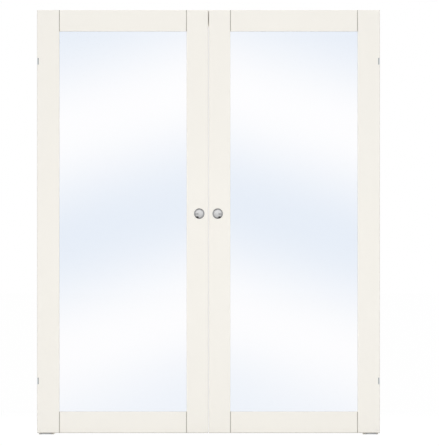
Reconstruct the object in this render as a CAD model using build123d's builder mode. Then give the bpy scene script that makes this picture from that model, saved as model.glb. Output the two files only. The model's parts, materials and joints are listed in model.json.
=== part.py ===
"""Double sliding door: two glazed leaves that part in the middle, with their frame and hidden running gear.

Millimetres. X runs to the right, Y to the back and Z up. The origin is on the floor,
under the line where the leaves meet, in the middle of the door's whole depth.
"""

import os

from build123d import *

# Leaves
leaf_w = 825.0
leaf_h = 2040.0
leaf_t = 40.0
floor_gap = 8.0
meeting_gap = 3.0
meeting_stile_w = 104.0
outer_stile_w = 107.0
top_rail_h = 103.0
bottom_rail_h = 103.0
arris = 1.5

# Joints between stiles and rails
tenon_len = 55.0
tenon_t = 12.0
tenon_shoulder = 22.0
tenon_set_back = 5.0
tenon_end_gap = 1.0
joint_line_w = 1.2
joint_line_d = 5.0

# Glazing
lip_t = 16.0
glass_t = 4.0
seal_t = 2.0
rebate_d = 14.0
seal_edge_gap = 1.0
bead_bevel = 4.0

# Cup pulls
cup_height = 1058.0
cup_from_edge = 43.0
cup_flange_r = 25.0
cup_flange_t = 1.2
cup_r = 21.0
cup_wall = 1.2
cup_depth = 11.0
cup_bottom_radius = 5.0
cup_rim_bevel = 0.4

# Buffers let into the leaves' outer edges
buffer_len = 32.0
buffer_w = 8.0
buffer_depth = 12.0
buffer_nose = 3.0
buffer_from_top = 247.0
buffer_from_bottom = 251.0

# Running rail in the back of each leaf
rail_h = 40.0
rail_d = 18.0
rail_wall = 3.0
rail_lip = 6.0
rail_cover = 16.0
rail_inset = 10.0
rail_corner = 1.0
stop_len = 12.0
stop_fit = 0.2
stop_gap = 2.0
rail_screw_count = 7
rail_screw_margin = 45.0

# Rollers, axles and their plates
roller_w = 10.0
roller_play = 0.3
roller_slack = 1.0
roller_pitch = 65.0
roller_rim = 1.0
hub_recess_r = 8.5
hub_recess_d = 2.3
shield_inner_r = 9.6
shield_outer_r = 13.2
shield_d = 0.5
axle_r = 4.0
axle_fit = 0.05
axle_shoulder_r = 6.5
axle_side_play = 0.3
axle_rivet_r = 5.0
clip_groove = 0.7
clip_t = 1.0
clip_r = 6.5
clip_gap = 0.3
clip_mouth = 5.0
plate_t = 4.0
plate_h = 60.0
plate_margin = 28.0
plate_corner = 8.0
plate_screw_inset = 10.0
anchor_r = 4.5

# Fixing screws
screw_r = 2.5
screw_head_r = 4.8
screw_len = 16.0
screw_point = 3.0
screw_key = 1.5
screw_key_d = 1.4
sink_angle = 90.0

# Floor guides
groove_w = 8.0
groove_d = 18.0
guide_play = 0.5
guide_len = 40.0
guide_h = 16.0
bracket_t = 3.0
bracket_w = 50.0
bracket_h = 60.0
bracket_lift = 2.0
bracket_corner = 5.0
bracket_bend = 4.0
guide_round = 3.0
peg_r = 2.5
peg_pitch = 24.0

# Frame
side_overlap = 81.5
head_overlap = 76.0
leaf_gap = 7.0
lining_t = 20.0
wall_t = 95.0
housing_d = 8.0
casing_w = 69.0
casing_t = 18.0
rear_casing_t = 12.0
casing_reveal = 5.0
casing_lap = 3.0
lap_gap = 0.5
casing_round = 3.0
lining_round = 1.0
jamb_hole_r = 4.0
jamb_sink_r = 8.0
jamb_sink_d = 6.0
jamb_outer_margin = 186.0
jamb_inner_margin = 686.0

# Depths, from the front to the back
depth = cup_flange_t + leaf_t + leaf_gap + casing_t + wall_t + rear_casing_t
y_leaf_front = cup_flange_t - depth / 2
y_leaf_back = y_leaf_front + leaf_t
y_leaf_mid = y_leaf_front + leaf_t / 2
y_casing = y_leaf_back + leaf_gap
y_wall_front = y_casing + casing_t
y_wall_back = y_wall_front + wall_t
y_rear = y_wall_back + rear_casing_t

# The right leaf, closed
x_meet = meeting_gap / 2
x_outer = x_meet + leaf_w
z_bottom = floor_gap
z_top = floor_gap + leaf_h
sight_x = (x_meet + meeting_stile_w, x_outer - outer_stile_w)
sight_z = (z_bottom + bottom_rail_h, z_top - top_rail_h)
y_lip = y_leaf_front + lip_t
bead_t = leaf_t - lip_t - 2 * seal_t - glass_t

# Running gear
rail_z = z_top - rail_cover - rail_h / 2
rail_x = (x_meet + rail_inset, x_outer - rail_inset)
y_rail_front = y_leaf_back - rail_d
y_web = y_rail_front + rail_wall
y_lips = y_leaf_back - rail_wall
raceway = rail_h / 2 - rail_wall
roller_r = raceway - roller_slack / 2
y_roller = (y_web + y_lips) / 2
roller_x_last = rail_x[1] - stop_len - stop_gap - roller_r
roller_xs = [roller_x_last - n * roller_pitch for n in (2, 1, 0)]
z_high = rail_z + raceway - roller_play - roller_r
z_low = rail_z - raceway + roller_play + roller_r
roller_zs = [z_high, z_low, z_high]
y_plate = y_casing - plate_t
plate_x = (roller_xs[0] - plate_margin, roller_xs[2] + plate_margin)
anchor_xs = [(roller_xs[0] + roller_xs[1]) / 2, (roller_xs[1] + roller_xs[2]) / 2]
travel = roller_xs[0] - roller_r - stop_gap - (rail_x[0] + stop_len)

# Frame
opening_x = x_outer - side_overlap
opening_h = z_top - head_overlap
casing_x = (opening_x + casing_reveal, opening_x + casing_reveal + casing_w)
casing_z = (opening_h + casing_reveal, opening_h + casing_reveal + casing_w)
y_wall_mid = (y_wall_front + y_wall_back) / 2
y_lining = (y_wall_front - casing_lap, y_wall_back + casing_lap)
lap_x = opening_x + lining_t + lap_gap
lap_z = opening_h + lining_t + lap_gap
jamb_margins = (jamb_outer_margin, jamb_inner_margin)
jamb_hole_zs = [z for margin in jamb_margins for z in (margin, opening_h - margin)]

# Cup pulls and floor guides
cup_x = x_meet + cup_from_edge
cup_z = z_bottom + cup_height
guide_x = (casing_x[0] + casing_x[1]) / 2
guide_t = groove_w - 2 * guide_play
z_bracket = bracket_lift + bracket_t


def facing(y):
    """The upright plane at this depth, seen from the front, with its normal towards the viewer."""
    return Plane.XZ.offset(-y)


def into_leaf(x, z):
    """Where a screw head sits on the rail's web, with its point towards the front."""
    return Plane(origin=(x, y_web, z), x_dir=(1, 0, 0), z_dir=(0, 1, 0))


def into_wall(x, y, z):
    """Where a screw head sits on a face that looks forward, with its point towards the wall."""
    return Plane(origin=(x, y, z), x_dir=(1, 0, 0), z_dir=(0, -1, 0))


def area(x, z, mode=Mode.ADD):
    """A rectangle between two values of x and two of z, in a sketch on an upright plane."""
    with Locations(((x[0] + x[1]) / 2, (z[0] + z[1]) / 2)):
        Rectangle(x[1] - x[0], z[1] - z[0], mode=mode)


def cut_block(x, y, z):
    """Takes away what lies between two values of x, of y and of z."""
    with Locations(((x[0] + x[1]) / 2, (y[0] + y[1]) / 2, (z[0] + z[1]) / 2)):
        Box(x[1] - x[0], y[1] - y[0], z[1] - z[0], mode=Mode.SUBTRACT)


def cut_rebate():
    """The rebate that the glass and its beads lie in, open at the back."""
    cut_block(
        (sight_x[0] - rebate_d, sight_x[1] + rebate_d),
        (y_lip, y_leaf_back),
        (sight_z[0] - rebate_d, sight_z[1] + rebate_d),
    )


def cut_rail_seat():
    """The groove for the running rail, with a pilot hole for each of its screws."""
    cut_block(rail_x, (y_rail_front, y_leaf_back), (rail_z - rail_h / 2, rail_z + rail_h / 2))
    with Locations(*[into_leaf(x, rail_z) for x in rail_screw_xs]):
        Cylinder(screw_r, 2 * screw_len, mode=Mode.SUBTRACT)


def cut_guide_groove():
    """The groove along the leaf's lower edge, for the floor guide."""
    cut_block(
        (x_meet, x_outer),
        (y_leaf_mid - groove_w / 2, y_leaf_mid + groove_w / 2),
        (z_bottom, z_bottom + groove_d),
    )


rail_screw_step = (rail_x[1] - rail_x[0] - 2 * rail_screw_margin) / (rail_screw_count - 1)
rail_screw_xs = [rail_x[0] + rail_screw_margin + n * rail_screw_step for n in range(rail_screw_count)]
tenon_y = (y_leaf_front + tenon_set_back, y_leaf_front + tenon_set_back + tenon_t)
rail_zs = {"top": (sight_z[1], z_top), "bottom": (z_bottom, sight_z[0])}
buffer_zs = (z_top - buffer_from_top, z_bottom + buffer_from_bottom)


def build_stile(x, mortise_x):
    """A stile over the leaf's whole height, with a mortise for each rail's tenon."""
    with BuildPart() as stile:
        with BuildSketch(facing(y_leaf_back)):
            area(x, (z_bottom, z_top))
        extrude(amount=leaf_t)
        chamfer(stile.edges().filter_by(Axis.Y, reverse=True), arris)
        for z in rail_zs.values():
            cut_block(mortise_x, tenon_y, (z[0] + tenon_shoulder, z[1] - tenon_shoulder))
        cut_rebate()
        cut_rail_seat()
        cut_guide_groove()
    return stile.part


def build_outer_stile():
    """The outer stile, with a pocket at its edge for each buffer."""
    stile = build_stile((sight_x[1], x_outer), (sight_x[1], sight_x[1] + tenon_len + tenon_end_gap))
    with BuildPart() as outer:
        add(stile)
        for z in buffer_zs:
            cut_block(
                (x_outer - buffer_w, x_outer),
                (y_leaf_front, y_leaf_front + buffer_depth),
                (z - buffer_len / 2, z + buffer_len / 2),
            )
    return outer.part


def build_meeting_stile():
    """The stile beside the other leaf, bored from both sides for the cup pulls."""
    stile = build_stile((x_meet, sight_x[0]), (sight_x[0] - tenon_len - tenon_end_gap, sight_x[0]))
    with BuildPart() as meeting:
        add(stile)
        for y in (y_leaf_front, y_leaf_back):
            with BuildSketch(facing(y)):
                with Locations((cup_x, cup_z)):
                    Circle(cup_r)
            extrude(amount=cup_depth + cup_wall, both=True, mode=Mode.SUBTRACT)
    return meeting.part


def build_rail(z):
    """A rail with an open line at each shoulder, on both faces, and a tenon at each end."""
    with BuildPart() as rail:
        with BuildSketch(facing(y_leaf_back)):
            area((sight_x[0] + joint_line_w, sight_x[1] - joint_line_w), z)
        extrude(amount=leaf_t)
        chamfer(rail.edges().filter_by(Axis.Y, reverse=True), arris)
        with BuildSketch(facing(y_leaf_back - joint_line_d)):
            area(sight_x, z)
        extrude(amount=leaf_t - 2 * joint_line_d)
        with BuildSketch(facing(tenon_y[1])):
            area(
                (sight_x[0] - tenon_len, sight_x[1] + tenon_len),
                (z[0] + tenon_shoulder, z[1] - tenon_shoulder),
            )
        extrude(amount=tenon_t)
        cut_rebate()
        cut_rail_seat()
        cut_guide_groove()
    return rail.part


def build_glass():
    """The pane, held all round in the rebate."""
    reach = rebate_d - seal_edge_gap - seal_t
    with BuildPart() as glass:
        with BuildSketch(facing(y_lip + seal_t + glass_t)):
            area((sight_x[0] - reach, sight_x[1] + reach), (sight_z[0] - reach, sight_z[1] + reach))
        extrude(amount=glass_t)
    return glass.part


def build_seal():
    """The channel-shaped seal round the edge of the pane."""
    reach = rebate_d - seal_edge_gap
    pane = reach - seal_t
    with BuildPart() as seal:
        with BuildSketch(facing(y_lip + 2 * seal_t + glass_t)):
            area((sight_x[0] - reach, sight_x[1] + reach), (sight_z[0] - reach, sight_z[1] + reach))
            area(sight_x, sight_z, mode=Mode.SUBTRACT)
        extrude(amount=2 * seal_t + glass_t)
        cut_block(
            (sight_x[0] - pane, sight_x[1] + pane),
            (y_lip + seal_t, y_lip + seal_t + glass_t),
            (sight_z[0] - pane, sight_z[1] + pane),
        )
    return seal.part


def build_bead(ends, along):
    """A bead with mitred ends and a bevel beside the glass; ends are its sight-line corners."""
    (x0, z0), (x1, z1) = ends
    mid_x = (sight_x[0] + sight_x[1]) / 2
    mid_z = (sight_z[0] + sight_z[1]) / 2
    outer = [
        (x + rebate_d * (1 if x > mid_x else -1), z + rebate_d * (1 if z > mid_z else -1))
        for x, z in ((x1, z1), (x0, z0))
    ]
    with BuildPart() as bead:
        with BuildSketch(facing(y_leaf_back)):
            with BuildLine():
                Polyline((x0, z0), (x1, z1), *outer, close=True)
            make_face()
        extrude(amount=bead_t)
        back_edges = bead.edges().group_by(Axis.Y)[-1].filter_by(along)
        chamfer(back_edges.sort_by(SortBy.LENGTH)[0], bead_bevel)
    return bead.part


def build_running_rail():
    """The C-shaped rail let into the leaf's back; the rollers run between its two raceways."""
    with BuildPart() as rail:
        with BuildSketch(Plane.YZ.offset(rail_x[0])):
            area((y_rail_front, y_leaf_back), (rail_z - rail_h / 2, rail_z + rail_h / 2))
            with Locations((y_roller, rail_z)):
                RectangleRounded(y_lips - y_web, 2 * raceway, rail_corner, mode=Mode.SUBTRACT)
            area(
                (y_lips, y_leaf_back),
                (rail_z - raceway + rail_lip, rail_z + raceway - rail_lip),
                mode=Mode.SUBTRACT,
            )
        extrude(amount=rail_x[1] - rail_x[0])
        with Locations(*[into_leaf(x, rail_z) for x in rail_screw_xs]):
            CounterSinkHole(screw_r, screw_head_r, depth=rail_wall, counter_sink_angle=sink_angle)
    return rail.part


def build_rail_stops():
    """A block at each end of the rail, which the rollers meet at the end of the leaf's travel."""
    half = raceway - stop_fit
    with BuildPart() as stops:
        for x in (rail_x[0], rail_x[1] - stop_len):
            with BuildSketch(Plane.YZ.offset(x)) as section:
                area((y_web + stop_fit, y_lips - stop_fit), (rail_z - half, rail_z + half))
                fillet(section.vertices(), rail_corner)
                area((y_lips - stop_fit, y_leaf_back), (rail_z - half + rail_lip, rail_z + half - rail_lip))
            extrude(amount=stop_len)
    return stops.part


def build_screw():
    """A countersunk wood screw with its head at the origin and its point downwards."""
    with BuildPart() as screw:
        with BuildSketch(Plane.XZ):
            with BuildLine():
                Polyline(
                    (0, 0),
                    (screw_head_r, 0),
                    (screw_r, screw_r - screw_head_r),
                    (screw_r, screw_point - screw_len),
                    (0, -screw_len),
                    close=True,
                )
            make_face()
        revolve(axis=Axis.Z)
        with BuildSketch():
            RegularPolygon(screw_key, 6)
        extrude(amount=-screw_key_d, mode=Mode.SUBTRACT)
    return screw.part


def build_group(piece, places):
    """The same piece at each of several places, as one group."""
    with BuildPart() as group:
        with Locations(*places):
            add(piece)
    return group.part


def build_cup():
    """A flush cup pull, turned as one piece, in the front of the leaf."""
    with BuildPart() as cup:
        with BuildSketch(Plane((cup_x, y_leaf_front, cup_z), x_dir=(1, 0, 0), z_dir=(0, 0, 1))) as section:
            with BuildLine():
                Polyline(
                    (0, cup_depth),
                    (cup_r - cup_wall, cup_depth),
                    (cup_r - cup_wall, -cup_flange_t),
                    (cup_flange_r, -cup_flange_t),
                    (cup_flange_r, 0),
                    (cup_r, 0),
                    (cup_r, cup_depth + cup_wall),
                    (0, cup_depth + cup_wall),
                    close=True,
                )
            make_face()
            bowl = section.vertices().sort_by_distance((cup_r - cup_wall, cup_depth))[0]
            fillet(bowl, cup_bottom_radius)
            rim = section.vertices().group_by(Axis.Y)[0]
            chamfer(rim, cup_rim_bevel)
        revolve(axis=Axis((cup_x, 0, cup_z), (0, 1, 0)))
    return cup.part


def build_buffers():
    """The rubber buffers let into the leaf's outer edge, with a rounded nose at its face."""
    with BuildPart() as buffers:
        for z in buffer_zs:
            with BuildSketch(Plane.XY.offset(z - buffer_len / 2)) as section:
                area((x_outer - buffer_w, x_outer), (y_leaf_front, y_leaf_front + buffer_depth))
                corner = section.vertices().sort_by_distance((x_outer, y_leaf_front))[0]
                fillet(corner, buffer_nose)
            extrude(amount=buffer_len)
    return buffers.part


def build_roller():
    """A roller with its axis along Z, sunk shields on both faces and a hub recess on top for the clip."""
    with BuildPart() as roller:
        with BuildSketch(Plane.XZ) as section:
            area((axle_r + axle_fit, roller_r), (-roller_w / 2, roller_w / 2))
            chamfer(section.vertices().group_by(Axis.X)[-1], roller_rim)
            area((axle_r, hub_recess_r), (roller_w / 2 - hub_recess_d, roller_w / 2), mode=Mode.SUBTRACT)
            for face in (-1, 1):
                ends = sorted((face * roller_w / 2, face * (roller_w / 2 - shield_d)))
                area((shield_inner_r, shield_outer_r), ends, mode=Mode.SUBTRACT)
        revolve(axis=Axis.Z)
    return roller.part


def build_axle():
    """A stud axle with its shoulder on the plate at the origin and its journal upwards."""
    shoulder = y_plate - y_roller - roller_w / 2 - axle_side_play
    clip_z = shoulder + axle_side_play + roller_w - hub_recess_d + clip_gap
    with BuildPart() as axle:
        with BuildSketch(Plane.XZ):
            area((0, axle_rivet_r), (-plate_t, 0))
            area((0, axle_shoulder_r), (0, shoulder))
            area((0, axle_r), (shoulder, shoulder + axle_side_play + roller_w))
            area((axle_r - clip_groove, axle_r), (clip_z, clip_z + clip_t), mode=Mode.SUBTRACT)
        revolve(axis=Axis.Z)
    return axle.part


def build_clip():
    """The open ring that keeps a roller on its axle, at its place above the plate."""
    clip_z = y_plate - y_roller + roller_w / 2 - hub_recess_d + clip_gap
    with BuildPart() as clip:
        with BuildSketch(Plane.XY.offset(clip_z)):
            Circle(clip_r)
            Circle(axle_r - clip_groove, mode=Mode.SUBTRACT)
            with Locations((clip_r, 0)):
                Rectangle(2 * clip_r, clip_mouth, mode=Mode.SUBTRACT)
        extrude(amount=clip_t)
    return clip.part


def build_plate():
    """The plate that carries three rollers, with countersunk holes and two holes for wall anchors."""
    with BuildPart() as plate:
        with BuildSketch(facing(y_casing)) as outline:
            area(plate_x, (rail_z - plate_h / 2, rail_z + plate_h / 2))
            fillet(outline.vertices(), plate_corner)
        extrude(amount=plate_t)
        with Locations(*[into_wall(x, y_plate, z) for x, z in zip(roller_xs, roller_zs)]):
            Hole(axle_rivet_r)
        with Locations(*[into_wall(x, y_plate, rail_z) for x in anchor_xs]):
            Hole(anchor_r)
        with Locations(*plate_screw_places):
            CounterSinkHole(screw_r, screw_head_r, depth=plate_t, counter_sink_angle=sink_angle)
    return plate.part


def build_bracket():
    """The bent bracket on the casing's foot, whose shelf reaches under the leaf."""
    y_shelf = y_leaf_mid - guide_t - bracket_corner
    with BuildPart() as bracket:
        with BuildSketch(Plane.YZ.offset(guide_x - bracket_w / 2)) as section:
            area((y_shelf, y_casing), (bracket_lift, z_bracket))
            area((y_casing - bracket_t, y_casing), (bracket_lift, bracket_lift + bracket_h))
            heel = section.vertices().sort_by_distance((y_casing, bracket_lift))[0]
            fillet(heel, bracket_bend)
        extrude(amount=bracket_w)
        ends = bracket.edges().filter_by(Axis.Z).group_by(Axis.Y)[0]
        fillet(ends, bracket_corner)
        with Locations(*bracket_screw_places):
            CounterSinkHole(screw_r, screw_head_r, depth=bracket_t, counter_sink_angle=sink_angle)
        with Locations((guide_x, y_leaf_mid, z_bracket)):
            with GridLocations(peg_pitch, 0, 2, 1):
                Hole(peg_r, depth=bracket_t)
    return bracket.part


def build_guide():
    """The sliding block in the leaf's groove, held on the bracket by two pegs."""
    with BuildPart() as guide:
        with BuildSketch(Plane.XY.offset(z_bracket)) as outline:
            with Locations((guide_x, y_leaf_mid)):
                Rectangle(guide_len, guide_t)
            fillet(outline.vertices(), guide_round)
        extrude(amount=guide_h)
        chamfer(guide.faces().sort_by(Axis.Z)[-1].edges(), guide_play)
        with BuildSketch(Plane.XY.offset(z_bracket)):
            with Locations((guide_x, y_leaf_mid)):
                with GridLocations(peg_pitch, 0, 2, 1):
                    Circle(peg_r)
        extrude(amount=-bracket_t)
    return guide.part


def build_lining():
    """The right side lining, housed for the head lining and bored for the wall fixings."""
    x = (opening_x, opening_x + lining_t)
    with BuildPart() as lining:
        with BuildSketch() as section:
            area(x, y_lining)
            fillet(section.vertices().group_by(Axis.X)[0], lining_round)
        extrude(amount=opening_h + lining_t)
        cut_block((opening_x, opening_x + housing_d), y_lining, (opening_h, opening_h + lining_t))
        mouths = [
            Plane(origin=(opening_x, y_wall_mid, z), x_dir=(0, 1, 0), z_dir=(-1, 0, 0)) for z in jamb_hole_zs
        ]
        with Locations(*mouths):
            CounterBoreHole(jamb_hole_r, jamb_sink_r, jamb_sink_d, depth=lining_t)
    return lining.part


def build_head_lining():
    """The head lining, whose ends sit in the side linings' housings."""
    reach = opening_x + housing_d
    with BuildPart() as lining:
        with BuildSketch(Plane.YZ.offset(-reach)) as section:
            area(y_lining, (opening_h, opening_h + lining_t))
            fillet(section.vertices().group_by(Axis.Y)[0], lining_round)
        extrude(amount=2 * reach)
    return lining.part


def build_side_casing(y_near, y_far, face):
    """A side casing, rebated over the lining's edge; face is the depth of its rounded show face."""
    with BuildPart() as casing:
        with BuildSketch() as section:
            area(casing_x, (y_near, y_far))
            show = [v for v in section.vertices() if abs(v.Y - face) < arris]
            fillet(show, casing_round)
        extrude(amount=casing_z[0])
        cut_block((casing_x[0], lap_x), y_lining, (0, casing_z[0]))
    return casing.part


def build_head_casing(y_near, y_far, face):
    """A head casing across the tops of both side casings, rebated over the linings' edges."""
    with BuildPart() as casing:
        with BuildSketch(Plane.YZ.offset(-casing_x[1])) as section:
            area((y_near, y_far), casing_z)
            show = [v for v in section.vertices() if abs(v.X - face) < arris]
            fillet(show, casing_round)
        extrude(amount=2 * casing_x[1])
        cut_block((-lap_x, lap_x), y_lining, (casing_z[0], lap_z))
    return casing.part


def build_front_head_casing():
    """The front head casing, bored for the screws and anchors of both roller plates."""
    with BuildPart() as casing:
        add(build_head_casing(y_casing, y_wall_front, y_casing))
        for side in (-1, 1):
            with Locations(*[into_wall(side * x, y_casing, rail_z) for x in anchor_xs]):
                Cylinder(anchor_r, 2 * casing_t, mode=Mode.SUBTRACT)
            with Locations(*[into_wall(side * p.origin.X, y_plate, p.origin.Z) for p in plate_screw_places]):
                Cylinder(screw_r, 2 * screw_len, mode=Mode.SUBTRACT)
    return casing.part


def build_front_side_casing():
    """The right front casing, bored for the floor bracket's screws."""
    with BuildPart() as casing:
        add(build_side_casing(y_casing, y_wall_front, y_casing))
        with Locations(*bracket_screw_places):
            Cylinder(screw_r, 2 * screw_len, mode=Mode.SUBTRACT)
    return casing.part


def mirrored(piece, about=Plane.YZ):
    """The same piece on the other side of a plane."""
    with BuildPart() as twin:
        mirror(piece, about=about)
    return twin.part


def joined(pieces):
    """Several separate solids as one group."""
    with BuildPart() as group:
        add(pieces)
    return group.part


def keep(name, piece):
    """Names a finished piece and writes it."""
    piece.label = name
    export_step(piece, f"parts/{name}.step")


def keep_pair(name, piece):
    """Writes a piece of the right side and its twin on the left."""
    keep(f"right_{name}", piece)
    keep(f"left_{name}", mirrored(piece))


plate_screw_places = [
    into_wall(x, y_plate, rail_z + side * (plate_h / 2 - plate_screw_inset))
    for x in (plate_x[0] + plate_screw_inset, plate_x[1] - plate_screw_inset)
    for side in (-1, 1)
]
bracket_screw_zs = [bracket_lift + bracket_h * share for share in (0.5, 0.8)]
bracket_screw_places = [into_wall(guide_x, y_casing - bracket_t, z) for z in bracket_screw_zs]

os.makedirs("parts", exist_ok=True)

# Leaves
keep_pair("outer_stile", build_outer_stile())
keep_pair("meeting_stile", build_meeting_stile())
for place, z in rail_zs.items():
    keep_pair(f"{place}_rail", build_rail(z))
keep_pair("glass", build_glass())
keep_pair("glazing_seal", build_seal())
bead_ends = {
    "top_bead": ([(sight_x[0], sight_z[1]), (sight_x[1], sight_z[1])], Axis.X),
    "bottom_bead": ([(sight_x[0], sight_z[0]), (sight_x[1], sight_z[0])], Axis.X),
    "meeting_bead": ([(sight_x[0], sight_z[0]), (sight_x[0], sight_z[1])], Axis.Z),
    "outer_bead": ([(sight_x[1], sight_z[0]), (sight_x[1], sight_z[1])], Axis.Z),
}
for name, (ends, along) in bead_ends.items():
    keep_pair(name, build_bead(ends, along))
keep_pair("edge_buffers", build_buffers())
front_cup = build_cup()
keep_pair("front_cup", front_cup)
keep_pair("back_cup", mirrored(front_cup, facing(y_leaf_mid)))

# Running gear
screw = build_screw()
keep_pair("running_rail", build_running_rail())
keep_pair("rail_stops", build_rail_stops())
keep_pair("rail_screws", build_group(screw, [into_leaf(x, rail_z) for x in rail_screw_xs]))
roller = build_roller()
roller_names = ("inner_roller", "middle_roller", "outer_roller")
for name, x, z in zip(roller_names, roller_xs, roller_zs):
    keep_pair(name, build_group(roller, [into_wall(x, y_roller, z)]))
axle_places = [into_wall(x, y_plate, z) for x, z in zip(roller_xs, roller_zs)]
keep_pair("roller_plate", build_plate())
keep_pair("roller_axles", build_group(build_axle(), axle_places))
keep_pair("roller_clips", build_group(build_clip(), axle_places))

# Floor guides
keep_pair("guide_bracket", build_bracket())
keep_pair("guide_block", build_guide())
right_screws = build_group(screw, plate_screw_places + bracket_screw_places)
keep("bracket_screws", joined([right_screws, mirrored(right_screws)]))

# Frame
keep_pair("side_lining", build_lining())
keep("head_lining", build_head_lining())
keep_pair("front_casing", build_front_side_casing())
keep("front_head_casing", build_front_head_casing())
keep_pair("rear_casing", build_side_casing(y_wall_back, y_rear, y_rear))
keep("rear_head_casing", build_head_casing(y_wall_back, y_rear, y_rear))

print(f"travel of each leaf {travel:.2f} mm, roller radius {roller_r:.2f} mm, depth {depth:.2f} mm")
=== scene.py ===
"""Double sliding door: finishes, turned pieces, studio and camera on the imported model.

Metres. X runs to the right, Y to the back and Z up, and the origin is on the floor.
"""

import json
import math

import bmesh
import bpy
from mathutils import Matrix, Vector


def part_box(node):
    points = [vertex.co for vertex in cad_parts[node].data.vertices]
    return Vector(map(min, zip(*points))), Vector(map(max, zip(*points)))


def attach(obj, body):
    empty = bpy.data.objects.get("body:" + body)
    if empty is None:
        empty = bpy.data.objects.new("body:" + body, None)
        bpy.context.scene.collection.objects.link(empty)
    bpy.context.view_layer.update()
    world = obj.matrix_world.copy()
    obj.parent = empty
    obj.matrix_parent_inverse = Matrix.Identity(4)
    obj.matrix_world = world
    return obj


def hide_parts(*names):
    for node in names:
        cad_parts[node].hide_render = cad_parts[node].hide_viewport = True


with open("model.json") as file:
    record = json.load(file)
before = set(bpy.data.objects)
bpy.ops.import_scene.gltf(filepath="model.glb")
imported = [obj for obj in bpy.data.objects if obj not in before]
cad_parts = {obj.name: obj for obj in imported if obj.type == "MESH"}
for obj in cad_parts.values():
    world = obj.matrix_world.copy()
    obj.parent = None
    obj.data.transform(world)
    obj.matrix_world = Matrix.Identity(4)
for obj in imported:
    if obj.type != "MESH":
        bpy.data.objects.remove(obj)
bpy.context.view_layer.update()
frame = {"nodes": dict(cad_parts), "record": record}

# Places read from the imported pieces; the left leaf mirrors the right one
STILE_LOW, STILE_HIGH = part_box("right_outer_stile")
MEET_LOW, MEET_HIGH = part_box("right_meeting_stile")
CUP_LOW, CUP_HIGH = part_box("right_front_cup")
FACE_Y = STILE_LOW.y
BACK_Y = STILE_HIGH.y
FOOT_Z = STILE_LOW.z
CUP_X = (CUP_LOW.x + CUP_HIGH.x) / 2
CUP_Z = (CUP_LOW.z + CUP_HIGH.z) / 2
JOINTS_X = (MEET_HIGH.x, STILE_LOW.x)
EDGES_X = (MEET_LOW.x, STILE_HIGH.x)
SIGHT_Z = (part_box("right_bottom_rail")[1].z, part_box("right_top_rail")[0].z)

# Camera
LENS = 500.0
SENSOR = 36.0
VIEW_HEIGHT = 2.151
FARTHEST = 300.0
AIM = Vector((0.0531, FACE_Y, 1.0208))

# Cup pulls
FLANGE_T = 0.0012
FLANGE_R = 0.025
CUP_R = 0.021
CUP_WALL = 0.0012
CUP_DEPTH = 0.011
BOWL_ROUND = 0.005
RIM_ROUND = 0.0005
BACK_CHAMFER = 0.001

# Rollers
ROLLER_BORE = 0.00405
TREAD_ROUND = 0.0010
RECESS_R = 0.0085
RECESS_DEPTH = 0.0023
RECESS_CHAMFER = 0.0003
SHIELD_IN = 0.0096
SHIELD_OUT = 0.0132
SHIELD_SUNK = 0.0005
SHIELD_SLOPE = 0.0001

# Turning
TURN_STEPS = 96
SMOOTH_ANGLE = math.radians(30.0)
MERGE = 1e-6

# Painted shade in the leaves' joint lines and on their edges and foot
ARRIS = 0.0015
ARRIS_FADE = 0.0003
FOOT_LINE = 0.0009
JOINT_OFF = 0.0006
JOINT_REACH = 0.0009
JOINT_FADE = 0.0005

# Colours, as linear light
WHITE = (1.0, 1.0, 1.0)
PAINT = (0.896, 0.871, 0.814)
PAINT_WARM = (0.870, 0.840, 0.775)
# Painted shade in the joint lines and along the leaves' foot
PAINTED_LINE_SHADE = (0.34, 0.315, 0.27)
# Painted shade on the leaves' outer and meeting arrises
PAINTED_EDGE_SHADE = (0.65, 0.62, 0.56)
GLASS_CLEAR = (0.985, 0.985, 1.0)
# Painted reflection of a pale sky on the glass
GLASS_PAINTED_SKY = (0.795, 0.852, 0.938)
# Painted shade and light on the cup bowl, darker below and lighter at the top
BOWL_PAINTED_SHADE = (0.57, 0.57, 0.57)
BOWL_PAINTED_LIGHT = (0.81, 0.81, 0.815)
# Painted reflection on the cup flange, lighter at its sides and darker at its top and foot
FLANGE_SIDE_REFLECTION = (0.32, 0.32, 0.325)
FLANGE_END_REFLECTION = (0.19, 0.19, 0.19)
STEEL = (0.56, 0.57, 0.58)
STEEL_BRIGHT = (0.70, 0.71, 0.72)
SHIELD_DARK = (0.34, 0.34, 0.35)

# Depths and pitches of the finest marks, and how much of their noise makes a tone
PAINT_DEPTH = 0.00007
METAL_DEPTH = 0.00002
SKIN_DEPTH = 0.00005
CUP_PITCH = 0.00035
STEEL_PITCH = 0.0003
LINE_FINENESS = 900.0
MARK_RANGE = (0.3, 0.7)
SKIN_RANGE = (0.35, 0.65)

# The painted reflection of a pale sky on the glass, in slanted bands
SKY_X = 0.6916
SKY_Z = 0.9389
SKY_SLOPE = 0.30
SKY_PITCH = 1.075
SKY_FOOT_HEIGHT = 0.33
SKY_FOOT_SHARE = 0.72
SKY_CLOUD = (1.6, 1.0, 1.1)
SKY_DRIFT = 0.08

# Where painted light and shade begin and end: the seal's painted light above the sight line, a
# buffer's painted highlight from the leaf's edge, the bowl's painted gradient from its middle, the
# flange's painted reflection from the cup's axis and towards its top and foot
SEAL_LIT = (0.003, 0.006)
NOSE_HIGHLIGHT = (0.0036, 0.0022)
BOWL_LIT = (-0.020, 0.016)
FLANGE_START = (0.0203, 0.0211)
FLANGE_LEAN = (0.35, 0.95)

# Painted reflections on the cup pulls, as soft patches: middle, size, turn and colour
PATCH_CORE = 0.35
BOWL_REFLECTION_PATCH = ((0.011, -0.002), (0.012, 0.008), 0.0, (0.47, 0.47, 0.475))
RIM_DARK_REFLECTION = ((0.0092, -0.0172), (0.0105, 0.0062), 0.35, (0.03, 0.03, 0.03))

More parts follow.
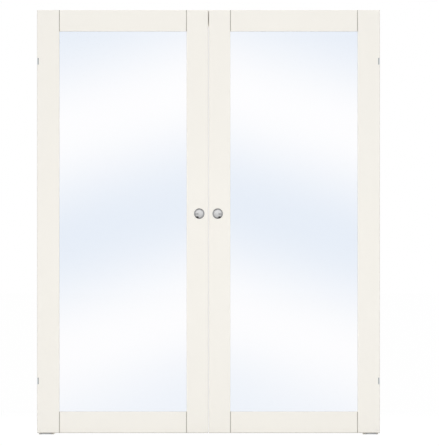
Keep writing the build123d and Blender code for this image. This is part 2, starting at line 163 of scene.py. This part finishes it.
# Studio
ROOM_COLOUR = (0.992, 0.992, 1.0)
ROOM_STRENGTH = 0.59
FLOOR_HALF = 60.0
FLOOR_DROP = 0.0005
FLOOR_COLOUR = (0.88, 0.88, 0.87)
FLOOR_SHADED = (0.10, 0.10, 0.10)
FLOOR_GLOW = 0.93
FLOOR_FAR_GLOW = 0.995
FLOOR_FADE = (1.2, 3.5)

# Each lamp's name, place, size, watts and aim
LAMPS = (
    ("front", (0.0, -5.5, 0.9), (3.0, 1.4), 6.0, (0.0, 0.0, 0.3)),
    ("low", (0.0, -4.0, 0.45), (5.0, 0.6), 42.1, (0.0, 0.0, 0.1)),
    ("sky", (0.0, -2.2, 5.6), (6.0, 3.0), 72.3, (0.0, 0.0, 1.2)),
    ("overhead", (0.0, 1.6, 6.0), (6.0, 3.0), 90.0, (0.0, 0.0, 1.0)),
    ("rear", (0.0, 7.5, 0.8), (4.0, 1.2), 200.0, (0.0, 0.0, 1.1)),
)

FLOAT, COLOUR, VECTOR = "NodeSocketFloat", "NodeSocketColor", "NodeSocketVector"


# Small tools for node trees


def put(tree, kind, **settings):
    """Adds a node and sets its plain settings."""
    node = tree.nodes.new(kind)
    for key, value in settings.items():
        setattr(node, key, value)
    return node


def feed(tree, socket, value):
    """Gives a socket a link from another socket, or a plain value."""
    if isinstance(value, bpy.types.NodeSocket):
        tree.links.new(value, socket)
    elif value is not None:
        if socket.type == "RGBA" and len(value) == 3:
            value = (*value, 1.0)
        socket.default_value = value


def work_out(tree, operation, a, b=None, c=None, clamp=False):
    """One Math node."""
    node = put(tree, "ShaderNodeMath", operation=operation, use_clamp=clamp)
    for socket, value in zip(node.inputs, (a, b, c)):
        feed(tree, socket, value)
    return node.outputs[0]


def rise(tree, value, low, high, out_low=0.0, out_high=1.0):
    """Turns a range of values into another, with soft ends."""
    node = put(tree, "ShaderNodeMapRange", interpolation_type="SMOOTHSTEP")
    for name, item in (
        ("Value", value),
        ("From Min", low),
        ("From Max", high),
        ("To Min", out_low),
        ("To Max", out_high),
    ):
        feed(tree, node.inputs[name], item)
    return node.outputs["Result"]


def fall(tree, value, low, high):
    """1 below a range of values and 0 above it, with soft ends."""
    return rise(tree, value, low, high, 1.0, 0.0)


def blend(tree, mask, a, b, kind="MIX"):
    """Mixes two colours by a mask."""
    node = put(tree, "ShaderNodeMix", data_type="RGBA", blend_type=kind)
    feed(tree, node.inputs[0], mask)
    feed(tree, node.inputs[6], a)
    feed(tree, node.inputs[7], b)
    return node.outputs[2]


def noise(tree, where, scale, detail=2.0, rough=0.5):
    """One noise pattern, as a value round a half."""
    node = put(tree, "ShaderNodeTexNoise")
    feed(tree, node.inputs["Vector"], where)
    feed(tree, node.inputs["Scale"], scale)
    feed(tree, node.inputs["Detail"], detail)
    feed(tree, node.inputs["Roughness"], rough)
    return node.outputs["Fac"]


def stretch(tree, where, scale=(1, 1, 1), location=(0, 0, 0), rotation=(0, 0, 0)):
    """Moves, turns or stretches coordinates."""
    node = put(tree, "ShaderNodeMapping", vector_type="POINT")
    feed(tree, node.inputs["Vector"], where)
    feed(tree, node.inputs["Location"], location)
    feed(tree, node.inputs["Rotation"], rotation)
    feed(tree, node.inputs["Scale"], scale)
    return node.outputs[0]


def split(tree, where):
    """The three parts of a coordinate."""
    node = put(tree, "ShaderNodeSeparateXYZ")
    feed(tree, node.inputs[0], where)
    return node.outputs[:3]


def join(tree, *parts):
    """A coordinate from its parts."""
    node = put(tree, "ShaderNodeCombineXYZ")
    for socket, value in zip(node.inputs, parts):
        feed(tree, socket, value)
    return node.outputs[0]


def length(tree, where):
    """How far a coordinate lies from the origin."""
    node = put(tree, "ShaderNodeVectorMath", operation="LENGTH")
    feed(tree, node.inputs[0], where)
    return node.outputs["Value"]


def start_group(name, takes, gives):
    """A shader group with its sockets, and its input and output nodes."""
    tree = bpy.data.node_groups.new(name, "ShaderNodeTree")
    for label, kind, value in takes:
        socket = tree.interface.new_socket(name=label, in_out="INPUT", socket_type=kind)
        if value is not None:
            socket.default_value = (*value, 1.0) if kind == COLOUR else value
    for label, kind in gives:
        tree.interface.new_socket(name=label, in_out="OUTPUT", socket_type=kind)
    return tree, tree.nodes.new("NodeGroupInput"), tree.nodes.new("NodeGroupOutput")


def use_group(tree, group, **values):
    """Places a shader group in a material; a value's name is its socket's, in lower case."""
    node = put(tree, "ShaderNodeGroup", node_tree=group)
    for socket in node.inputs:
        key = socket.name.lower()
        if key in values:
            feed(tree, socket, values.pop(key))
    if values:
        raise KeyError(f"{group.name} has no socket for {sorted(values)}")
    return node.outputs


# Shared effects


def sprayed_film():
    """Sprayed paint: a faint orange peel, uneven gloss and broad differences in tone."""
    tree, took, gave = start_group(
        "sprayed_film",
        [
            ("Where", VECTOR, None),
            ("Colour", COLOUR, PAINT),
            ("Shade", COLOUR, PAINT_WARM),
            ("Unevenness", FLOAT, 0.3),
            ("Gloss", FLOAT, 0.42),
        ],
        [("Colour", COLOUR), ("Roughness", FLOAT), ("Height", FLOAT)],
    )
    where = took.outputs["Where"]
    broad = noise(tree, where, scale=2.3, detail=3.0)
    peel = noise(tree, where, scale=620.0, rough=0.45)
    brush = noise(tree, stretch(tree, where, (90.0, 90.0, 5.0)), scale=1.0, detail=3.0)
    patchy = rise(tree, broad, 0.35, 0.7)
    tone = work_out(tree, "MULTIPLY", patchy, took.outputs["Unevenness"])
    colour = blend(tree, tone, took.outputs["Colour"], took.outputs["Shade"])
    gloss = work_out(tree, "MULTIPLY_ADD", brush, 0.10, took.outputs["Gloss"])
    feed(tree, gave.inputs["Colour"], colour)
    feed(tree, gave.inputs["Roughness"], work_out(tree, "MULTIPLY_ADD", peel, 0.05, gloss))
    feed(tree, gave.inputs["Height"], work_out(tree, "MULTIPLY_ADD", brush, 0.35, peel))
    return tree


def joint_shade():
    """Masks for painted shade: in the line where a rail meets a stile, and on a leaf's arrises and
    foot.
    """
    tree, took, gave = start_group(
        "joint_shade",
        [("Where", VECTOR, None), ("Reach", FLOAT, JOINT_REACH)],
        [("Joint", FLOAT), ("Edge", FLOAT), ("Foot", FLOAT)],
    )
    across, _, up = split(tree, took.outputs["Where"])
    x = work_out(tree, "ABSOLUTE", across)
    reach = took.outputs["Reach"]
    fade = work_out(tree, "ADD", reach, JOINT_FADE)
    lines = []
    for joint, way in zip(JOINTS_X, (1, -1)):
        off = work_out(tree, "SUBTRACT", x, joint + way * JOINT_OFF)
        lines.append(fall(tree, work_out(tree, "ABSOLUTE", off), reach, fade))
    above = rise(tree, up, SIGHT_Z[1], SIGHT_Z[1] + JOINT_FADE)
    below = fall(tree, up, SIGHT_Z[0] - JOINT_FADE, SIGHT_Z[0])
    beside_rail = work_out(tree, "MAXIMUM", above, below)
    # Painted shade in the joint lines, beside the rails only
    joint = work_out(tree, "MULTIPLY", work_out(tree, "MAXIMUM", *lines), beside_rail)
    # Painted shade on the meeting and outer arrises
    meeting = fall(tree, x, EDGES_X[0] + ARRIS - ARRIS_FADE, EDGES_X[0] + ARRIS)
    outer = rise(tree, x, EDGES_X[1] - ARRIS, EDGES_X[1] - ARRIS + ARRIS_FADE)
    # Painted shade along the arris at the leaf's foot
    foot = fall(tree, up, FOOT_Z + ARRIS, FOOT_Z + ARRIS + FOOT_LINE)
    feed(tree, gave.inputs["Joint"], joint)
    feed(tree, gave.inputs["Edge"], work_out(tree, "MAXIMUM", meeting, outer))
    feed(tree, gave.inputs["Foot"], foot)
    return tree


def tool_lines():
    """Fine parallel marks of rolling or drawing, as a tone and a height."""
    tree, took, gave = start_group(
        "tool_lines",
        [("Where", VECTOR, None), ("Fineness", FLOAT, LINE_FINENESS)],
        [("Tone", FLOAT), ("Height", FLOAT)],
    )
    where, fineness = took.outputs["Where"], took.outputs["Fineness"]
    lines = noise(tree, where, fineness, detail=4.0, rough=0.6)
    wide = noise(tree, where, work_out(tree, "MULTIPLY", fineness, 0.17))
    half = work_out(tree, "MULTIPLY", lines, 0.5)
    feed(tree, gave.inputs["Tone"], work_out(tree, "MULTIPLY_ADD", wide, 0.5, half))
    feed(tree, gave.inputs["Height"], lines)
    return tree


def lathe_rings():
    """Turning marks round an axis along Y, as a tone and a height."""
    tree, took, gave = start_group(
        "lathe_rings",
        [("Where", VECTOR, None), ("Pitch", FLOAT, STEEL_PITCH)],
        [("Radius", FLOAT), ("Tone", FLOAT), ("Height", FLOAT)],
    )
    x, _, z = split(tree, took.outputs["Where"])
    radius = length(tree, join(tree, x, z))
    turn = work_out(tree, "ARCTAN2", z, x)
    count = work_out(tree, "DIVIDE", radius, took.outputs["Pitch"])
    sway = [
        work_out(tree, "MULTIPLY", work_out(tree, part, turn), 0.35) for part in ("SINE", "COSINE")
    ]
    rings = noise(tree, join(tree, count, *sway), scale=1.0, detail=3.0, rough=0.6)
    feed(tree, gave.inputs["Radius"], radius)
    feed(tree, gave.inputs["Tone"], rings)
    feed(tree, gave.inputs["Height"], rings)
    return tree


def moulded_skin():
    """A moulded surface: fine spark texture and slightly uneven gloss."""
    tree, took, gave = start_group(
        "moulded_skin",
        [("Where", VECTOR, None), ("Grain", FLOAT, 1400.0), ("Gloss", FLOAT, 0.6)],
        [("Tone", FLOAT), ("Roughness", FLOAT), ("Height", FLOAT)],
    )
    where = took.outputs["Where"]
    fine = noise(tree, where, took.outputs["Grain"], rough=0.6)
    gloss = work_out(tree, "MULTIPLY_ADD", fine, 0.12, took.outputs["Gloss"])
    feed(tree, gave.inputs["Tone"], noise(tree, where, scale=22.0))
    feed(tree, gave.inputs["Roughness"], gloss)
    feed(tree, gave.inputs["Height"], fine)
    return tree


FILM = sprayed_film()
JOINT = joint_shade()
LINES = tool_lines()
RINGS = lathe_rings()
SKIN = moulded_skin()


# Materials


def new_material(name):
    """An empty node material."""
    material = bpy.data.materials.new(name)
    material.use_nodes = True
    material.node_tree.nodes.clear()
    return material, material.node_tree


def start_material(name, **sockets):
    """A material with one Principled shader; plain values are set on its own sockets."""
    material, tree = new_material(name)
    shader = put(tree, "ShaderNodeBsdfPrincipled")
    feed(tree, put(tree, "ShaderNodeOutputMaterial").inputs[0], shader.outputs[0])
    where = put(tree, "ShaderNodeTexCoord").outputs["Object"]
    for label, value in sockets.items():
        feed(tree, shader.inputs[label.replace("_", " ")], value)
    return material, tree, shader, where


def surface(tree, shader, tone, roughness, height, depth):
    """Feeds a shader its colour, roughness and finest relief; depth is in metres."""
    relief = put(tree, "ShaderNodeBump")
    feed(tree, relief.inputs["Distance"], depth)
    feed(tree, relief.inputs["Height"], height)
    feed(tree, shader.inputs["Base Color"], tone)
    feed(tree, shader.inputs["Roughness"], roughness)
    feed(tree, shader.inputs["Normal"], relief.outputs[0])


def paint(name, unevenness=0.25, gloss=0.38, joints=False):
    """Satin paint on wood; joints adds painted shade in the leaves' joint lines and on their edges
    and foot.
    """
    material, tree, shader, where = start_material(name, Specular_IOR_Level=0.35)
    film = use_group(
        tree, FILM, where=where, colour=PAINT, shade=PAINT_WARM, unevenness=unevenness, gloss=gloss
    )
    tone = film["Colour"]
    if joints:
        lines = use_group(tree, JOINT, where=where, reach=JOINT_REACH)
        # Painted shade in the joints, on the arrises and along the foot
        for line, colour in (("Joint", PAINTED_LINE_SHADE), ("Edge", PAINTED_EDGE_SHADE), ("Foot", PAINTED_LINE_SHADE)):
            tone = blend(tree, lines[line], tone, colour)
    surface(tree, shader, tone, film["Roughness"], film["Height"], PAINT_DEPTH)
    return material


def pane_glass():
    """Clear glass with a painted reflection of a slanted pale sky in its colour, the same on both
    leaves.
    """
    material, tree, shader, where = start_material(
        "glass", Roughness=0.0, IOR=1.5, Transmission_Weight=1.0
    )
    x, _, z = split(tree, where)
    inwards = work_out(tree, "SUBTRACT", SKY_X, work_out(tree, "ABSOLUTE", x))
    middle = work_out(tree, "MULTIPLY_ADD", inwards, SKY_SLOPE, SKY_Z)
    above = work_out(tree, "SUBTRACT", z, middle)
    turns = work_out(tree, "DIVIDE", above, SKY_PITCH / (2 * math.pi))
    wave = work_out(tree, "MULTIPLY_ADD", work_out(tree, "COSINE", turns), 0.5, 0.5)
    cloud = noise(tree, stretch(tree, where, SKY_CLOUD), scale=1.0, detail=1.0)
    drift = work_out(tree, "SUBTRACT", cloud, 0.5)
    mask = work_out(tree, "MULTIPLY_ADD", drift, SKY_DRIFT, wave, clamp=True)
    foot = rise(tree, z, SIGHT_Z[0], SIGHT_Z[0] + SKY_FOOT_HEIGHT, SKY_FOOT_SHARE, 1.0)
    # Painted reflection of the sky bands, weaker towards the glass's foot
    tone = blend(tree, work_out(tree, "MULTIPLY", mask, foot), GLASS_CLEAR, GLASS_PAINTED_SKY)
    feed(tree, shader.inputs["Base Color"], tone)
    return material


def cup_metal():
    """Brushed cup pulls: a turned flange darkened by painted reflection, a bowl with painted light
    and shade, and soft painted reflections in it.
    """
    material, tree, shader, where = start_material("cup_chrome", Metallic=1.0)
    x, _, z = split(tree, where)
    out = work_out(tree, "SUBTRACT", work_out(tree, "ABSOLUTE", x), CUP_X)
    up = work_out(tree, "SUBTRACT", z, CUP_Z)
    local = join(tree, out, 0.0, up)
    rings = use_group(tree, RINGS, where=local, pitch=CUP_PITCH)

    def lay(patch, tone):
        """Lays a soft oval patch of painted reflection over a tone."""
        centre, size, turn, colour = patch
        moved = stretch(tree, local, location=(-centre[0], 0, -centre[1]))
        turned = stretch(tree, moved, (1 / size[0], 1, 1 / size[1]), rotation=(0, turn, 0))
        return blend(tree, rise(tree, length(tree, turned), 1.0, PATCH_CORE), tone, colour)

    # Painted light and shade in the bowl, lighter towards its top, under a soft painted reflection
    bowl = lay(BOWL_REFLECTION_PATCH, blend(tree, rise(tree, up, *BOWL_LIT), BOWL_PAINTED_SHADE, BOWL_PAINTED_LIGHT))
    # The flange's painted reflection, lighter at its sides and darker towards its top and foot
    lean = work_out(tree, "DIVIDE", work_out(tree, "ABSOLUTE", up), FLANGE_R)
    band = blend(tree, rise(tree, lean, *FLANGE_LEAN), FLANGE_SIDE_REFLECTION, FLANGE_END_REFLECTION)
    flange = rise(tree, rings["Radius"], *FLANGE_START)
    # Painted reflections: the flange band over the bowl, then the dark crescent at the rim
    tone = lay(RIM_DARK_REFLECTION, blend(tree, flange, bowl, band))
    marks = rise(tree, rings["Tone"], *MARK_RANGE, out_low=0.6)
    tone = blend(tree, 0.25, tone, marks, "MULTIPLY")
    roughness = work_out(tree, "MULTIPLY_ADD", rings["Tone"], 0.15, 0.22)
    surface(tree, shader, tone, roughness, rings["Height"], METAL_DEPTH)
    return material


def lined_metal(name, colour, dark, rough, along=1.0):
    """Plated metal with fine spangle, or drawn metal where along makes it lines along X."""
    material, tree, shader, where = start_material(name, Metallic=1.0)
    drawn = stretch(tree, where, (1 / along, 1, 1))
    marks = use_group(tree, LINES, where=drawn, fineness=LINE_FINENESS)
    tone = blend(tree, rise(tree, marks["Tone"], *MARK_RANGE), colour, dark)
    roughness = work_out(tree, "MULTIPLY_ADD", marks["Tone"], 0.2, rough - 0.1)
    surface(tree, shader, tone, roughness, marks["Height"], METAL_DEPTH)
    return material


def turned_steel(name, x=0.0, z=0.0):
    """Turned steel with rings round an axis here: a bright tread, sunk shields and a hub."""
    material, tree, shader, where = start_material(name, Metallic=1.0)
    local = stretch(tree, where, location=(-x, 0, -z))
    rings = use_group(tree, RINGS, where=local, pitch=STEEL_PITCH)
    radius = rings["Radius"]
    inside = rise(tree, radius, SHIELD_IN - SHIELD_SLOPE, SHIELD_IN + 2 * SHIELD_SLOPE)
    outside = fall(tree, radius, SHIELD_OUT - 2 * SHIELD_SLOPE, SHIELD_OUT + SHIELD_SLOPE)
    steel = blend(tree, rise(tree, rings["Tone"], *MARK_RANGE), STEEL, STEEL_BRIGHT)
    tone = blend(tree, work_out(tree, "MULTIPLY", inside, outside), steel, SHIELD_DARK)
    roughness = work_out(tree, "MULTIPLY_ADD", rings["Tone"], 0.16, 0.20)
    surface(tree, shader, tone, roughness, rings["Height"], METAL_DEPTH)
    return material


def moulded(name, colour, shade, gloss, grain=1400.0, place=None, painted_light_colour=WHITE):
    """Rubber or moulded plastic; place masks a part of it that gets painted light in a colour of
    its own.
    """
    material, tree, shader, where = start_material(name)
    skin = use_group(tree, SKIN, where=where, grain=grain, gloss=gloss)
    tone = blend(tree, rise(tree, skin["Tone"], *SKIN_RANGE), colour, shade)
    if place:
        # Painted light on the masked part
        tone = blend(tree, place(tree, where), tone, painted_light_colour)
    surface(tree, shader, tone, skin["Roughness"], skin["Height"], SKIN_DEPTH)
    return material


def painted_seal_light(tree, where):
    """The seal along the foot of the glass, painted lighter where it catches the light."""
    start, end = SEAL_LIT
    return fall(tree, split(tree, where)[2], SIGHT_Z[0] + start, SIGHT_Z[0] + end)


def buffer_nose_highlight(tree, where):
    """The painted highlight on the nose of a buffer, at the leaf's edge."""
    x = work_out(tree, "ABSOLUTE", split(tree, where)[0])
    start, end = NOSE_HIGHLIGHT
    return rise(tree, x, EDGES_X[1] - start, EDGES_X[1] - end)


finishes = {
    "leaf_paint": paint("leaf_paint", joints=True),
    "bead_paint": paint("bead_paint", unevenness=0.15, gloss=0.34),
    "frame_paint": paint("frame_paint", unevenness=0.3, gloss=0.42),
    "glass": pane_glass(),
    # The glazing seal gets painted light along the glass's foot
    "glazing_seal": moulded(
        "glazing_seal", (0.78, 0.79, 0.78), (0.72, 0.73, 0.72), 0.55, place=painted_seal_light
    ),
    "cup_chrome": cup_metal(),
    "rail_aluminium": lined_metal(
        "rail_aluminium", (0.76, 0.77, 0.78), (0.64, 0.65, 0.66), 0.38, along=60.0
    ),
    "stop_plastic": moulded("stop_plastic", (0.030, 0.030, 0.032), (0.020, 0.020, 0.022), 0.5),
    # The buffer's nose gets a painted highlight
    "buffer_rubber": moulded(
        "buffer_rubber",
        (0.38, 0.40, 0.405),
        (0.34, 0.36, 0.365),
        0.55,
        grain=900.0,
        place=buffer_nose_highlight,
        painted_light_colour=(0.70, 0.735, 0.74),
    ),
    "screw_steel": lined_metal("screw_steel", (0.72, 0.71, 0.68), (0.60, 0.60, 0.58), 0.36),
    "roller_steel": turned_steel("roller_steel"),
    "plated_steel": lined_metal("plated_steel", (0.70, 0.72, 0.74), (0.58, 0.60, 0.63), 0.40),
    "axle_steel": lined_metal("axle_steel", (0.60, 0.61, 0.62), (0.50, 0.51, 0.52), 0.30),
    "guide_plastic": moulded(
        "guide_plastic", (0.80, 0.80, 0.77), (0.74, 0.74, 0.70), 0.45, grain=1100.0
    ),
}


def dress(piece, material):
    """Gives a piece one material."""
    piece.data.materials.clear()
    piece.data.materials.append(material)


for row in frame["record"]["subparts"]:
    dress(frame["nodes"][row["node"]], finishes[row["material_slot"]])
for side in ("right", "left"):
    # Light passes through the pane
    frame["nodes"][f"{side}_glass"].visible_shadow = False


# Turned pieces


def add_object(name, data):
    """Adds an object to the scene."""
    thing = bpy.data.objects.new(name, data)
    bpy.context.scene.collection.objects.link(thing)
    return thing


def add_mesh(name, form):
    """Makes an object of a bmesh, with its place in its mesh."""
    mesh = bpy.data.meshes.new(name)
    form.to_mesh(mesh)
    form.free()
    return add_object(name, mesh)


def finish_mesh(name, form, material, body):
    """Makes a finished piece of a bmesh, with its material and body."""
    bmesh.ops.remove_doubles(form, verts=form.verts, dist=MERGE)
    bmesh.ops.recalc_face_normals(form, faces=form.faces)
    for face in form.faces:
        face.smooth = True
    for edge in form.edges:
        edge.smooth = len(edge.link_faces) == 2 and edge.calc_face_angle(0.0) < SMOOTH_ANGLE
    piece = add_mesh(name, form)
    dress(piece, material)
    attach(piece, body)
    return piece


def turn_profile(points, centre, way):
    """Spins a profile of (radius, depth) round an axis along Y; way turns depth to +Y or -Y."""
    form = bmesh.new()
    verts = [form.verts.new((radius, way * depth, 0.0)) for radius, depth in points]
    edges = [form.edges.new(pair) for pair in zip(verts, verts[1:])]
    bmesh.ops.spin(
        form,
        geom=verts + edges,
        cent=(0, 0, 0),
        axis=(0, 1, 0),
        angle=2 * math.pi,
        steps=TURN_STEPS,
        use_merge=True,
    )
    bmesh.ops.translate(form, verts=form.verts, vec=centre)
    return form


def arc(centre, radius, start, end, steps):
    """Points of a rounded corner in a profile."""
    angles = [math.radians(start + (end - start) * n / steps) for n in range(steps + 1)]
    return [(centre[0] + radius * math.cos(a), centre[1] + radius * math.sin(a)) for a in angles]


def cup_profile():
    """The cup pull's outline from the bowl's middle round its flange to the middle of its back."""
    inner = CUP_R - CUP_WALL
    back = CUP_DEPTH + CUP_WALL
    rim = RIM_ROUND
    return [
        (0.0, CUP_DEPTH),
        *arc((inner - BOWL_ROUND, CUP_DEPTH - BOWL_ROUND), BOWL_ROUND, 90, 0, 8),
        *arc((inner + rim, -FLANGE_T + rim), rim, 180, 270, 4),
        *arc((FLANGE_R - rim, -FLANGE_T + rim), rim, 270, 360, 4),
        (FLANGE_R, 0.0),
        (CUP_R, 0.0),
        (CUP_R, back - BACK_CHAMFER),
        (CUP_R - BACK_CHAMFER, back),
        (0.0, back),
    ]


for side, sign in (("right", 1), ("left", -1)):
    for face, y, way in (("front", FACE_Y, 1), ("back", BACK_Y, -1)):
        node = f"{side}_{face}_cup"
        body = f"{side}_leaf"
        form = turn_profile(cup_profile(), (sign * CUP_X, y, CUP_Z), way)
        cup = finish_mesh(f"{side}_{face}_pull", form, finishes["cup_chrome"], body)
        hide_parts(node)


def roller_profile(radius, half):
    """A roller with a rounded tread, a sunk shield on each face and a hub recess in front."""
    tread = radius - TREAD_ROUND
    shield = [
        (SHIELD_IN, half),
        (SHIELD_IN + SHIELD_SLOPE, half - SHIELD_SUNK),
        (SHIELD_OUT - SHIELD_SLOPE, half - SHIELD_SUNK),
        (SHIELD_OUT, half),
    ]
    face = [
        (ROLLER_BORE, half - RECESS_DEPTH),
        (RECESS_R - RECESS_CHAMFER, half - RECESS_DEPTH),
        (RECESS_R, half - RECESS_DEPTH + RECESS_CHAMFER),
        (RECESS_R, half),
        *shield,
        *arc((tread, half - TREAD_ROUND), TREAD_ROUND, 90, 0, 5),
    ]
    back = [
        *arc((tread, -half + TREAD_ROUND), TREAD_ROUND, 0, -90, 5),
        *[(place, -depth) for place, depth in reversed(shield)],
        (ROLLER_BORE, -half),
    ]
    return [*face, *back, face[0]]


for side in ("right", "left"):
    for place in ("inner", "middle", "outer"):
        node = f"{side}_{place}_roller"
        low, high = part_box(node)
        middle = (low + high) / 2
        radius = (high.x - low.x) / 2
        half = (high.y - low.y) / 2
        steel = turned_steel(f"roller_steel_{side}_{place}", middle.x, middle.z)
        dress(frame["nodes"][node], steel)
        form = turn_profile(roller_profile(radius, half), middle, -1)
        roller = finish_mesh(f"{node}_bearing", form, steel, node)
        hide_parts(node)


# Studio


def one_colour(tree, kind, colour, strength=None):
    """A shader of one colour."""
    node = put(tree, kind)
    feed(tree, node.inputs["Color"], colour)
    if strength is not None:
        feed(tree, node.inputs["Strength"], strength)
    return node.outputs[0]


def mix_shaders(tree, mask, *shaders):
    """Mixes two shaders by a mask."""
    node = put(tree, "ShaderNodeMixShader")
    for socket, value in zip(node.inputs, (mask, *shaders)):
        feed(tree, socket, value)
    return node.outputs[0]


def seen(tree):
    """1 for the camera's rays, and for those that metal and glass pass on."""
    light_path = put(tree, "ShaderNodeLightPath")
    total = light_path.outputs["Is Camera Ray"]
    for kind in ("Is Glossy Ray", "Is Transmission Ray"):
        total = work_out(tree, "MAXIMUM", total, light_path.outputs[kind])
    return total


def make_world():
    """White behind the door, and a softer even light on it."""
    world = bpy.data.worlds.new("studio")
    bpy.context.scene.world = world
    world.use_nodes = True
    tree = world.node_tree
    tree.nodes.clear()
    light = one_colour(tree, "ShaderNodeBackground", ROOM_COLOUR, ROOM_STRENGTH)
    white = one_colour(tree, "ShaderNodeBackground", WHITE, 1.0)
    both = mix_shaders(tree, seen(tree), light, white)
    feed(tree, put(tree, "ShaderNodeOutputWorld").inputs[0], both)


def make_floor():
    """A pale floor that reads white: it keeps a faint shadow near the door and is plain far off."""
    form = bmesh.new()
    bmesh.ops.create_grid(form, x_segments=1, y_segments=1, size=FLOOR_HALF)
    bmesh.ops.translate(form, verts=form.verts, vec=(0, 0, -FLOOR_DROP))
    floor = add_mesh("studio_floor", form)
    material, tree = new_material("studio_floor")
    plain = one_colour(tree, "ShaderNodeBsdfDiffuse", FLOOR_COLOUR)
    near = put(tree, "ShaderNodeAddShader")
    feed(tree, near.inputs[0], one_colour(tree, "ShaderNodeBsdfDiffuse", FLOOR_SHADED))
    feed(tree, near.inputs[1], one_colour(tree, "ShaderNodeEmission", WHITE, FLOOR_GLOW))
    distant = one_colour(tree, "ShaderNodeEmission", WHITE, FLOOR_FAR_GLOW)
    away = length(tree, put(tree, "ShaderNodeTexCoord").outputs["Object"])
    white = mix_shaders(tree, rise(tree, away, *FLOOR_FADE), near.outputs[0], distant)
    both = mix_shaders(tree, seen(tree), plain, white)
    feed(tree, put(tree, "ShaderNodeOutputMaterial").inputs[0], both)
    dress(floor, material)


def add_lamp(name, place, size, watts, aim):
    """A large soft lamp that looks at a point."""
    data = bpy.data.lights.new(name, "AREA")
    data.shape = "RECTANGLE"
    data.size, data.size_y = size
    data.energy = watts
    lamp = add_object(name, data)
    turn = (Vector(aim) - Vector(place)).to_track_quat("-Z", "Y").to_matrix().to_4x4()
    lamp.matrix_world = Matrix.Translation(place) @ turn
    lamp.visible_camera = False
    lamp.visible_glossy = False
    lamp.visible_transmission = False


def make_camera():
    """The photograph's flat front view, from far away."""
    data = bpy.data.cameras.new("camera")
    data.type = "PERSP"
    data.lens = LENS
    data.sensor_width = SENSOR
    data.sensor_fit = "AUTO"
    data.clip_end = FARTHEST
    camera = add_object("camera", data)
    away = Vector((0, VIEW_HEIGHT * LENS / SENSOR, 0))
    camera.matrix_world = Matrix.Translation(AIM - away) @ Matrix.Rotation(math.pi / 2, 4, "X")
    bpy.context.scene.camera = camera


make_camera()
make_world()
make_floor()
for lamp in LAMPS:
    add_lamp(*lamp)
bpy.context.scene.view_settings.view_transform = "Standard"
